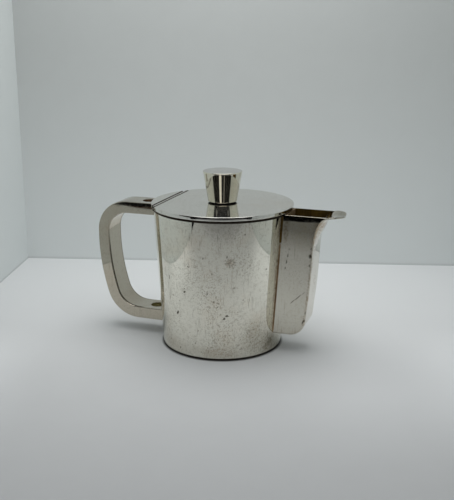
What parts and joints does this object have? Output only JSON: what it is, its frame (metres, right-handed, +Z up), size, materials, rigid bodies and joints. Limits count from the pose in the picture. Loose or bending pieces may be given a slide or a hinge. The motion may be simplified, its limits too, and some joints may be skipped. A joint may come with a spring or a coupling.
{
  "type": "teapot",
  "caption": "Small straight-sided metal teapot with a flush hinged lid, a turned knob, a full-height box spout with a lip, and a flat bar handle.",
  "frame": {"origin": "centre of the underside of the body, on the table", "axes": "+Z up, +X from the handle towards the spout's lip, the hinge line runs along Y"},
  "size_m": [0.1595, 0.0884, 0.1095],
  "materials": {
    "plate_outside": "polished silver plate, worn and lightly tarnished",
    "plate_inside": "dull silver plate, brown with tarnish",
    "pin_metal": "satin"
  },
  "bodies": {
    "pot": {"body_wall": "plate_outside", "base_plate": "plate_outside", "mouth_ring": "plate_inside", "hinge_deck": "plate_outside", "deck_knuckles": "plate_outside", "hinge_pin": "pin_metal", "spout_side_left": "plate_outside", "spout_side_right": "plate_outside", "spout_front": "plate_outside", "strainer_plate": "plate_inside", "handle_cheek_left": "plate_outside", "handle_cheek_right": "plate_outside", "handle_outer_strip": "plate_outside", "handle_inner_strip": "plate_outside"},
    "lid": {"lid_plate": "plate_outside", "lid_bezel": "plate_inside", "lid_knuckles": "plate_outside", "knob": "plate_outside", "knob_screw": "pin_metal", "knob_washer": "pin_metal"}
  },
  "joints": [
    {"name": "lid_hinge", "type": "hinge", "parent": "pot", "child": "lid", "pos_m": [-0.03504, 0, 0.0885], "axis": [0, -1, 0], "range_deg": [0, 100]}
  ]
}
